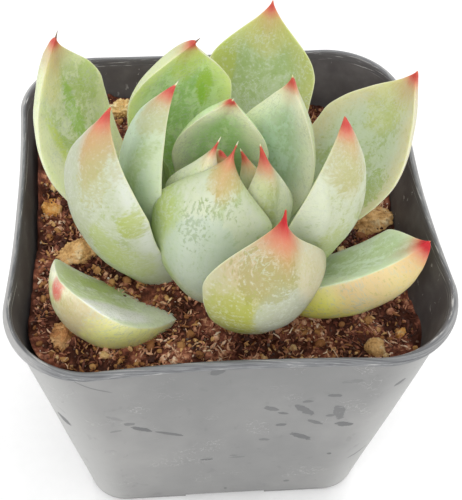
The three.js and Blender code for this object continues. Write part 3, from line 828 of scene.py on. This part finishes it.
# Each face: tissue, bloom and shoulder colour, how much bloom is left, how wide the shoulder is and
# the lift, painted light that scales them all: above 1 it stands in for light through the leaf
# where the rosette shades the face, below 1 it darkens a face that too much light falls on. A leaf
# that a table leaves out has the plain face.
FACE_NAMES = ("tissue", "wax", "shoulder", "waxy", "shoulder_mm", "lift")
PLAIN_INNER = ((0.26, 0.38, 0.13), (0.42, 0.5, 0.29), (0.47, 0.52, 0.24), 0.5, 3, 1)
PLAIN_OUTER = ((0.38, 0.46, 0.18), (0.6, 0.64, 0.46), (0.6, 0.64, 0.42), 0.55, 1.5, 1)
INNER_FACES = {
    "leaf_low_right": ((0.3, 0.38, 0.19), (0.43, 0.51, 0.39), (0.38, 0.45, 0.31), 0.55, 0.6, 1.5),
    "leaf_inner_back": ((0.29, 0.48, 0.17), (0.46, 0.6, 0.32), (0.66, 0.7, 0.52), 0.35, 3, 1.36),
    "leaf_inner_right": ((0.35, 0.48, 0.27), (0.47, 0.6, 0.46), (0.78, 0.78, 0.64), 0.5, 3.6, 1.2),
    "leaf_back_left": ((0.26, 0.43, 0.13), (0.44, 0.56, 0.3), (0.52, 0.58, 0.24), 0.5, 3, 1.4),
    "leaf_outer_right": ((0.36, 0.45, 0.17), (0.52, 0.59, 0.42), (0.62, 0.56, 0.35), 0.6, 3.2, 1.02),
    "leaf_outer_back": ((0.33, 0.44, 0.16), (0.46, 0.55, 0.32), (0.5, 0.52, 0.17), 0.5, 3, 0.94),
    "leaf_outer_left": ((0.31, 0.4, 0.12), (0.52, 0.56, 0.37), (0.55, 0.58, 0.36), 0.5, 3, 1.35),
    "leaf_low_left": ((0.26, 0.31, 0.14), (0.37, 0.41, 0.33), (0.3, 0.33, 0.24), 0.5, 1.2, 2.3),
}
OUTER_FACES = {
    "leaf_front": ((0.42, 0.41, 0.13), (0.55, 0.51, 0.3), (0.58, 0.56, 0.38), 0.55, 1.5, 0.84),
    "leaf_front_left": ((0.38, 0.46, 0.23), (0.54, 0.58, 0.44), (0.47, 0.54, 0.3), 0.7, 1.5, 1.1),
    "leaf_heart_left": ((0.38, 0.46, 0.18), (0.5, 0.56, 0.38), (0.62, 0.64, 0.52), 0.55, 2, 1.4),
    "leaf_heart_right": ((0.42, 0.47, 0.2), (0.56, 0.6, 0.42), (0.6, 0.64, 0.42), 0.55, 1.5, 1.15),
    "leaf_heart_middle": ((0.42, 0.48, 0.14), (0.56, 0.58, 0.32), (0.6, 0.64, 0.42), 0.55, 1.5, 1),
    "leaf_heart_front": ((0.6, 0.42, 0.24), (0.66, 0.5, 0.32), (0.6, 0.64, 0.42), 0.55, 1.5, 1),
    "leaf_left": ((0.38, 0.44, 0.2), (0.52, 0.56, 0.41), (0.7, 0.73, 0.66), 0.68, 1.5, 0.94),
    "leaf_right": ((0.42, 0.47, 0.22), (0.57, 0.61, 0.46), (0.64, 0.68, 0.54), 0.6, 1.5, 1),
    "leaf_low_right": ((0.47, 0.45, 0.15), (0.47, 0.43, 0.21), (0.41, 0.35, 0.21), 0.4, 1.6, 1.85),
    "leaf_inner_back": ((0.36, 0.5, 0.22), (0.46, 0.58, 0.34), (0.46, 0.58, 0.34), 0.55, 1.5, 1.4),
    "leaf_inner_left": ((0.4, 0.51, 0.31), (0.5, 0.61, 0.45), (0.62, 0.7, 0.5), 0.65, 1.5, 0.95),
    "leaf_back_left": ((0.4, 0.47, 0.17), (0.5, 0.55, 0.32), (0.52, 0.56, 0.34), 0.55, 1.5, 1.22),
    "leaf_outer_right": ((0.5, 0.5, 0.3), (0.62, 0.6, 0.42), (0.66, 0.62, 0.46), 0.55, 1.5, 1),
    "leaf_outer_left": ((0.38, 0.46, 0.18), (0.6, 0.64, 0.46), (0.6, 0.64, 0.42), 0.55, 1.5, 1.2),
    "leaf_low_left": ((0.46, 0.49, 0.16), (0.58, 0.58, 0.35), (0.72, 0.72, 0.56), 0.55, 1.5, 1.22),
}
# Each point and margin: how far the red runs and its colour, how far and wide the peach runs and
# its strength, the pale margin's width, and the length and colour of the hair point.
LOOK_NAMES = ("red_mm", "red", "peach_mm", "peach_wide", "peach_most", "rim_mm", "hair", "hair_tint")
LOOKS = {
    "leaf_front": (4.8, CRIMSON, 5, 3, 0.85, 0.35, 0.2, RED),
    "leaf_front_left": (3.4, RED, 6, 2, 0.7, 0.35, 0.8, CREAM),
    "leaf_heart_left": (1.9, RED, 4, 3, 0.55, 0.35, 0.9, CREAM),
    "leaf_heart_right": (4.0, RED, 4, 3, 0.55, 0.35, 0.4, CREAM),
    "leaf_heart_middle": (2.2, RED, 4, 3, 0.7, 0.35, 0.5, CREAM),
    "leaf_heart_front": (0.8, RED, 4, 3, 0.7, 0.35, 0, RED),
    "leaf_left": (3.4, RED, 8, 2.4, 0.8, 0.35, 0.2, RED),
    "leaf_right": (3.0, RED, 5, 2.6, 0.6, 0.35, 0.2, RED),
    "leaf_low_right": (3.2, CRIMSON, 5, 4, 0.55, 0.1, 0.2, RED),
    "leaf_inner_back": (1.6, RED, 4, 3, 0.55, 0.35, 0.8, CREAM),
    "leaf_inner_right": (2.6, RED, 4, 3, 0.55, 0.7, 0.5, CREAM),
    "leaf_inner_left": (2.7, RED, 4, 3, 0.55, 0.35, 0.8, CREAM),
    "leaf_inner_side": (1.8, RED, 4, 3, 0.55, 0.35, 0.2, RED),
    "leaf_back_left": (2.5, RED, 5, 3, 0.55, 0.35, 1.4, PURPLE),
    "leaf_outer_right": (2.5, RED, 6, 3, 0.55, 0.35, 0.2, RED),
    "leaf_outer_back": (2.6, RED, 5, 3, 0.55, 0.35, 0.2, RED),
    "leaf_outer_left": (2.8, RED, 8, 3, 0.65, 0.35, 1.8, PURPLE),
    "leaf_low_left": (0, RED, 0, 3, 0.55, 0.1, 0, RED),
}
# A mark is: face (1 inner, -1 outer), share along, millimetres aside, half length, half width in
# millimetres, colour, strength, how torn (over 5 breaks it into flecks) and how soft its edge is.
MARKS = {
    "leaf_front": (
        (-1, 0.85, -4.5, 5, 4, (0.63, 0.48, 0.3), 0.6, 1.2, 0.7),
        (-1, 0.54, -7.0, 5.5, 3.8, (0.42, 0.44, 0.06), 0.75, 1.2, 0.7),
        (-1, 0.55, -0.8, 5.4, 4.2, (0.5, 0.53, 0.42), 0.8, 1.0, 0.3),
        (-1, 0.74, 4.6, 6.5, 3, (0.74, 0.68, 0.48), 0.65, 1.2, 0.5),
        (-1, 0.75, -2.6, 3.0, 3.8, (0.36, 0.34, 0.1), 0.5, 3, 0.3),
    ),
    "leaf_front_left": (
        (-1, 0.52, -6.5, 8, 3, (0.34, 0.45, 0.14), 0.6, 1.2, 0.5),
        (-1, 0.5, -0.5, 6, 5.5, (0.47, 0.54, 0.45), 0.75, 0.7, 0.15),
        (-1, 0.66, -6.7, 2.4, 1.3, SPRING, 0.35, 2.4, 0.4),
        (-1, 0.64, -2.1, 2.4, 1.7, (0.29, 0.36, 0.22), 0.6, 6, 0.6),
        (-1, 0.74, 0.6, 1.6, 1.9, (0.3, 0.36, 0.2), 0.6, 6, 0.6),
        (-1, 0.85, 0.4, 2.8, 2.2, (0.46, 0.37, 0.13), 0.7, 1.6, 0.7),
    ),
    "leaf_heart_right": (
        (-1, 0.5, 2.2, 7, 2.4, (0.8, 0.82, 0.7), 0.8, 1.2, 0.5),
    ),
    "leaf_left": (
        (-1, 0.66, -1.6, 8, 4.5, (0.42, 0.45, 0.3), 0.5, 3, 0.6),
        (-1, 0.86, 1.3, 5, 1.8, (0.46, 0.36, 0.15), 0.7, 1.2, 0.6),
        (-1, 0.81, 2.2, 6, 2.2, (0.48, 0.46, 0.22), 0.5, 3, 0.5),
        (-1, 0.6, 7.2, 2.8, 1.2, (0.4, 0.46, 0.1), 0.75, 1.6, 0.5),
        (-1, 0.46, 3.2, 5.5, 2.0, (0.44, 0.51, 0.18), 0.7, 1.8, 0.5),
        (-1, 0.36, 4.4, 5, 2.5, (0.5, 0.56, 0.24), 0.6, 1.8, 0.6),
    ),
    "leaf_right": (
        (-1, 0.66, -5.0, 7, 1.4, (0.7, 0.74, 0.6), 0.6, 1.2, 0.6),
        (-1, 0.42, -1.6, 6, 2.6, (0.44, 0.5, 0.18), 0.6, 1.8, 0.5),
        (-1, 0.84, -0.8, 5, 2.6, (0.46, 0.42, 0.2), 0.65, 1.2, 0.7),
        (-1, 0.3, 1.5, 6, 3.0, (0.46, 0.53, 0.24), 0.55, 2.4, 0.5),
    ),
    "leaf_low_right": (
        # Painted light: this yellow-green patch by the underside's base is brightened to offset its
        # shade.
        (-1, 0.26, -3.0, 7.5, 5, (0.49, 0.5, 0.085), 0.75, 0.5, 0.8),
        (-1, 0.66, -4.0, 6, 1.5, (0.43, 0.29, 0.17), 0.5, 1, 0.8),
        (-1, 0.8, -3.0, 7, 3.6, (0.43, 0.34, 0.18), 0.75, 1, 0.8),
        (1, 0.45, -4.0, 6, 1.4, (0.5, 0.57, 0.42), 0.6, 1.5, 0.4),
    ),
    "leaf_inner_left": (
        (-1, 0.62, -0.6, 8, 2.4, (0.72, 0.86, 0.72), 0.65, 1.2, 0.6),
        (-1, 0.54, 3.4, 9, 1.1, (0.42, 0.52, 0.26), 0.6, 1.6, 0.5),
        (-1, 0.89, 1.2, 3.4, 2.2, (0.48, 0.48, 0.26), 0.65, 1.4, 0.6),
    ),
    "leaf_back_left": (
        (1, 0.84, -0.5, 4, 2.5, SPRING, 0.55, 1.4, 0.6),
        (1, 0.68, -4.0, 4.2, 1.2, (0.3, 0.45, 0.06), 0.85, 1.4, 0.5),
        (1, 0.64, -3.8, 2.6, 0.5, FRESH, 0.6, 1.2, 0.5),
    ),
    "leaf_outer_right": (
        (1, 0.52, -6.0, 4, 2, LEAF_GREEN, 0.6, 2.4, 0.3),
        (1, 0.82, 1.0, 5, 3, (0.56, 0.58, 0.24), 0.5, 1.4, 0.6),
    ),
    "leaf_outer_back": (
        (1, 0.72, 6.4, 4.5, 1.8, SPRING, 0.75, 1, 0.5),
        (1, 0.88, 0, 4, 3.5, (0.56, 0.52, 0.16), 0.55, 1.2, 0.7),
    ),
    "leaf_outer_left": (
        (1, 0.72, -5.8, 4, 2, LEAF_GREEN, 0.5, 2, 0.4),
        (1, 0.6, -1.2, 6, 1.3, FRESH, 0.5, 2.4, 0.5),
        (1, 0.5, 4.0, 8, 0.9, SPRING, 0.65, 1.6, 0.6),
        (1, 0.6, 6.0, 9, 1.6, (0.56, 0.57, 0.38), 0.65, 3, 0.5),
        (1, 0.82, 1.4, 5, 2.0, (0.6, 0.54, 0.26), 0.5, 1.2, 0.7),
    ),
    "leaf_low_left": (
        (-1, 0.8, 3.6, 5.5, 4.4, (0.42, 0.33, 0.18), 0.75, 1.2, 0.8),
        # Painted light: this yellow patch by the outer face's lower margin is brightened to offset its
        # shade.
        (-1, 0.56, 6, 7, 3.4, (0.74, 0.76, 0.26), 0.8, 1, 0.7),
        (1, 0.5, -3.4, 7, 2.0, (0.23, 0.29, 0.09), 0.75, 1.6, 0.5),
        # A pale strip of bloom by the near margin, partly painted light brightened against the inner
        # face's shade.
        (1, 0.72, 4.8, 8, 2.4, (0.49, 0.49, 0.49), 0.95, 1, 0.6),
        (1, 0.22, 3, 6, 5, (0.37, 0.4, 0.33), 0.7, 2.4, 0.3),
        (-1, 0.965, -0.1, 1.2, 1.2, (0.53, 0.07, 0.07), 0.85, 0.3, 0.9),
    ),
}


def width_share(s, widest, full, sharp):
    """How wide a leaf is at a share of its length, as a share of the most."""
    lower = 0.45 + 0.55 * np.sin(math.pi / 2 * np.clip(s / widest, 0, 1)) ** 1.2
    beyond = np.clip((s - widest) / (1 - widest), 0, 1)
    return np.where(s < widest, lower, np.maximum(0, 1 - beyond ** full) ** sharp)


def thickness_share(s):
    lower = 0.7 + 0.3 * np.sin(math.pi / 2 * np.clip(s / 0.4, 0, 1))
    beyond = np.clip((s - 0.4) / 0.6, 0, 1)
    return np.where(s < 0.4, lower, np.maximum(0, 1 - beyond ** 2.4) ** 0.8)


def leaf_heading(leaf, s):
    """The way that the spine runs at each share of its length, and the way it faces."""
    inside = np.maximum(0, s)
    slope = np.radians(lerp(leaf["slope"], leaf["tip_slope"], inside))
    facing = np.radians(leaf["turn"] + leaf["sweep"] * inside)
    level = np.cos(slope)
    return np.stack([level * np.cos(facing), level * np.sin(facing), np.sin(slope)], -1), facing


def leaf_mesh(leaf, parted, hair, seed):
    """Points, faces and marks of one leaf, as rings from its base to the end of its hair point."""
    neck = max(0, leaf["out"] - NECK_END) / math.cos(math.radians(leaf["slope"])) / leaf["long"]
    start = 0 if parted else -neck
    hair_mm = max(hair, 0.05)
    rise = np.linspace(0, 1, LEAF_RINGS)
    blade = lerp(start, 1, 1 - (1 - rise) ** 1.25)
    s = np.append(blade, 1 + np.linspace(0.2, 1, HAIR_RINGS) * hair_mm / leaf["long"])[:, None]
    along_mm = s * leaf["long"]
    steps = (np.arange(24) + 0.5) / 24
    headings, _ = leaf_heading(leaf, s * steps)
    foot_x, foot_y = spun(leaf["out"], 0, math.radians(leaf["turn"]))
    base = np.array([CROWN[0] + foot_x, CROWN[1] + foot_y, leaf["up"]])
    spine = base + headings.mean(1) * along_mm
    ahead, facing = leaf_heading(leaf, s)
    level = np.stack([-np.sin(facing), np.cos(facing), 0 * facing], -1)
    lifted = np.cross(ahead, level)
    roll = math.radians(leaf["roll"])
    aside = level * math.cos(roll) + lifted * math.sin(roll)
    inward = lifted * math.cos(roll) - level * math.sin(roll)
    angle = 2 * math.pi * np.arange(LEAF_AROUND) / LEAF_AROUND
    x, z = np.cos(angle), np.sin(angle)
    x_side = np.sign(np.round(x, 9))
    share = width_share(s, leaf["widest"] + x_side * leaf["skew"], leaf["full"], leaf["sharp"])
    bulge = np.abs(z) ** 1.24 * leaf["thick"] * thickness_share(s)
    height = leaf["cup"] * share * x * x + np.where(z > 0, 0.18, -0.82) * bulge
    # Soft dents over the faces, a slightly uneven margin and the thin hair point.
    fade = np.clip((1 - s) * 8, 0, 1) * np.clip((s + 0.1) * 5, 0, 1)
    trim = leaf["trim"] * np.exp(-((s - 0.66) / 0.14) ** 2) * np.maximum(0, x)
    across_mm = x * leaf["wide"] / 2 * share * (1 - trim)
    dents = noise_at(across_mm, along_mm, 10.0 * seed + z * 0.6, size=6.5) * 0.4
    dents = dents + noise_at(across_mm, along_mm, 10.0 * seed + 5 + z, size=2.6) * 0.1
    waver = noise_at(along_mm, x_side, 10.0 * seed + 3, size=3.5) * 0.16 * x ** 4
    beyond = np.clip((s - 1) * leaf["long"] / hair_mm, 0, 1)
    thin = 0.14 * np.clip((s - 0.93) / 0.07, 0, 1) * (1 - 0.8 * beyond)
    sideways = across_mm + waver * fade * x_side + x * thin
    over = height + dents * fade * (1 - x ** 6) + z * thin
    points = spine[:, None] + aside * sideways[..., None] + inward * over[..., None]
    rings = len(s)
    steps_mm = np.linalg.norm(np.roll(points, -1, 1) - points, axis=2)
    travelled = np.concatenate([np.zeros((rings, 1)), np.cumsum(steps_mm, 1)[:, :-1]], 1)
    whole = steps_mm.sum(1, keepdims=True)
    far_margin = travelled[:, LEAF_AROUND // 2][:, None]
    to_margin = np.minimum(np.minimum(travelled, whole - travelled), np.abs(travelled - far_margin))
    marks = {
        "along": np.broadcast_to(s, share.shape),
        "aside_mm": across_mm,
        "vein_mm": x * leaf["wide"] / 2 * share ** 0.6,
        "face": np.broadcast_to(z, share.shape),
        "tip_mm": np.broadcast_to((1 - s) * leaf["long"], share.shape),
        "rim_mm": to_margin,
    }
    faces = ring_faces(rings, LEAF_AROUND)
    faces.append(tuple(range(LEAF_AROUND))[::-1])
    faces.append(tuple((rings - 1) * LEAF_AROUND + k for k in range(LEAF_AROUND)))
    return points.reshape(-1, 3), faces, {name: value.ravel() for name, value in marks.items()}


def leaf_material(name, inner, outer, look, marks, long, seed):
    """Leaf tissue under a streaked bloom, with the marks, the thin margin and the red point."""
    material, wire = new_material(
        name, Subsurface_Weight=0.45, Subsurface_Radius=(0.9, 1.0, 0.45), Subsurface_Scale=0.002,
        Specular_IOR_Level=0.3)
    names = ("along", "aside_mm", "vein_mm", "face", "tip_mm", "rim_mm")
    along, aside, vein, face, tip, rim = (wire.value(mark) for mark in names)
    skin = joined(vein, along * long, face * 2 + 10 * seed)
    flow = skin.swirled(5, 2.5)
    broad = skin.cloud(7, 2)
    streaks = flow.spread(1.1, 0.16, 1).cloud(1, 3, seed=2)
    mottle = flow.cloud(1.3, 5, seed=3, rough=0.68)
    speckle = skin.cloud(0.3, 2, seed=6)
    crackle = flow.cloud(0.42, 3, seed=7, rough=0.6)
    ragged = mottle * 0.45 + streaks * 0.25 + crackle * 0.3 - 0.5

    def lifted(kind, tint):
        """A colour times this face's lift, at most 0.93: painted light for how much light reaches the
        face.
        """
        return tuple(min(0.93, part * kind["lift"]) for part in tint)

    def face_colour(kind):
        """The green tissue, with the bloom where it is left and the paler shoulder at the margin."""
        field = broad * 0.3 + mottle * 0.35 + streaks * 0.2 + crackle * 0.15
        field = field + (kind["waxy"] - 0.5) * 0.25
        waxed = field.ease(0.38, 0.6) * 0.65 + field.ease(0.49, 0.52) * 0.35
        colour = waxed.over(lifted(kind, kind["tissue"]), lifted(kind, kind["wax"]))
        edge = rim + (broad - 0.5) * 4 + ragged * 3
        shoulder = edge.ease(kind["shoulder_mm"] + 2, 0.5) * 0.8
        return shoulder.over(colour, lifted(kind, kind["shoulder"]))

    is_inner = face.ease(-0.1, 0.1)
    colour = is_inner.over(face_colour(outer), face_colour(inner))
    low = (along + (broad - 0.5) * 0.4).ease(0.35, 0.0) * 0.35
    colour = low.over(colour, LEAF_GREEN)
    for side, at, across, half_long, half_wide, tint, strength, torn, soft in marks:
        first = (along - at) * long / half_long
        second = (aside - across) / half_wide
        tear = crackle - 0.46 if torn > 5 else ragged
        patch = (first ** 2 + second ** 2 + tear * torn * 3).ease(1 + soft, 1 - soft)
        on_face = is_inner if side > 0 else 1 - is_inner
        shade = lifted(inner if side > 0 else outer, tint)
        colour = (patch * on_face * strength * (streaks * 0.6 + 0.7).ease(0, 1)).over(colour, shade)
    curls = abs(flow.cloud(1.1, 4, seed=8) - 0.5).ease(0.03, 0.0)
    curls = curls * skin.cloud(5, 1, seed=9).ease(0.45, 0.58)
    colour = (curls * 0.55).over(colour, FROST)
    colour = (crackle.ease(0.52, 0.68) * 0.42).over(colour, FROST)
    colour = (crackle.ease(0.44, 0.32) * 0.25).over(colour, LEAF_GREEN)
    pits = skin.cells(1.7, seed=4).ease(0.1, 0.05)
    colour = (pits * 0.4).over(colour, DEEP)
    dust = skin.cells(1.0, seed=5).ease(0.1, 0.05) * broad.ease(0.4, 0.6)
    colour = (dust * 0.45).over(colour, CREAM)
    margin = (rim + ragged).ease(look["rim_mm"], 0.0) * along.ease(0.15, 0.45)
    colour = (margin * 0.55).over(colour, RIM_CREAM)
    if look["peach_mm"]:
        run = tip + ragged * 3 + abs(aside) * (3.0 / look["peach_wide"])
        warm = run.ease(look["red_mm"] + look["peach_mm"], look["red_mm"] * 0.5)
        colour = (warm * look["peach_most"]).over(colour, PEACH)
    if look["red_mm"]:
        run = tip + ragged * 1.6 + abs(aside) * 0.3
        colour = (run.ease(look["red_mm"] * 1.3, look["red_mm"] * 0.5) * 0.8).over(colour, PINK)
        colour = run.ease(look["red_mm"] * 0.8, look["red_mm"] * 0.25).over(colour, look["red"])
    colour = tip.ease(0.1, -0.3).over(colour, look["hair_tint"])
    roughness = 0.42 + mottle * 0.2
    relief = mottle * 0.5 + streaks * 0.5 + speckle * 0.15 + broad * 0.4 - curls * 0.1
    cover(material, colour, roughness, relief, 0.00014)
    return material


for seed, (name, numbers) in enumerate(SHAPES.items()):
    shape = dict(zip(SHAPE_NAMES, numbers))
    inner = dict(zip(FACE_NAMES, INNER_FACES.get(name, PLAIN_INNER)))
    outer = dict(zip(FACE_NAMES, OUTER_FACES.get(name, PLAIN_OUTER)))
    look = dict(zip(LOOK_NAMES, LOOKS[name]))
    marks = MARKS.get(name, ())
    skin = leaf_material(name + "_skin", inner, outer, look, marks, shape["long"], seed)
    points, faces, layers = leaf_mesh(shape, name == PARTED, look["hair"], seed)
    piece = new_piece(name + "_blade", points, faces, skin, layers)
    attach(piece, "root")
    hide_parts(name)


# The stage
# A pale floor, a bright even studio and a camera that looks down at the plant from the front.
FLOOR_REACH = 3000
FLOOR_DROP = 0.3
SKY_STRENGTH = 0.84
# The camera: its place in millimetres, how it is turned in degrees, its focal length in pixels of
# the picture, and the column that it looks along beside the picture's middle column.
CAMERA_PLACE = (-9.4, -97.7, 169.1)
CAMERA_YAW, CAMERA_DOWN, CAMERA_ROLL = -3.93, 52.01, 0.66
FOCAL_PX = 931
SIGHT_COLUMN_PX = 204.6
MIDDLE_COLUMN_PX = 231
PICTURE_TALL_PX = 500
SENSOR_MM = 36

floor_corners = ((-1, -1), (1, -1), (1, 1), (-1, 1))
floor_points = np.array([(x * FLOOR_REACH, y * FLOOR_REACH, -FLOOR_DROP) for x, y in floor_corners])
paper, wire = new_material("pale_floor", Specular_IOR_Level=0.2)
place = place_of(wire)
tooth = place.cloud(2, 2)
cover(paper, tooth.over((0.93, 0.93, 0.93), (0.97, 0.97, 0.97)), 0.8 + tooth * 0.1, tooth, 0.00002)
floor = new_piece("floor", floor_points, [(0, 1, 2, 3)], paper)

world = bpy.data.worlds.new("studio")
world.use_nodes = True
world.node_tree.nodes["Background"].inputs["Color"].default_value = (1, 1, 1, 1)
world.node_tree.nodes["Background"].inputs["Strength"].default_value = SKY_STRENGTH
bpy.context.scene.world = world


def soft_light(name, source, strength, wide):
    """A wide even light from far away. Its source is the way to it from the plant."""
    light = bpy.data.lights.new(name, "SUN")
    light.energy = strength
    light.angle = math.radians(wide)
    lamp = placed(name, light)
    lamp.rotation_mode = "QUATERNION"
    lamp.rotation_quaternion = (-Vector(source)).to_track_quat("-Z", "Y")


soft_light("key", (-0.25, -0.66, 0.72), 1.0, 40)
soft_light("front", (0.2, -0.96, 0.2), 0.5, 50)
soft_light("back", (0.25, 0.6, 0.76), 0.8, 60)

camera_data = bpy.data.cameras.new("camera")
camera_data.sensor_width = SENSOR_MM
camera_data.lens = FOCAL_PX / PICTURE_TALL_PX * SENSOR_MM
camera_data.shift_x = (MIDDLE_COLUMN_PX - SIGHT_COLUMN_PX) / PICTURE_TALL_PX
camera = placed("camera", camera_data)
yaw, pitch, roll = (math.radians(angle) for angle in (CAMERA_YAW, CAMERA_DOWN, CAMERA_ROLL))
forward = Vector((-math.sin(yaw) * math.cos(pitch), math.cos(yaw) * math.cos(pitch), -math.sin(pitch)))
right = Vector((math.cos(yaw), math.sin(yaw), 0))
upward = right.cross(forward)
across = right * math.cos(roll) + upward * math.sin(roll)
upright = upward * math.cos(roll) - right * math.sin(roll)
turned = Matrix((across, upright, -forward)).transposed().to_4x4()
camera.matrix_world = Matrix.Translation(Vector(CAMERA_PLACE) * MM) @ turned
bpy.context.scene.camera = camera
bpy.context.scene.view_settings.view_transform = "Standard"
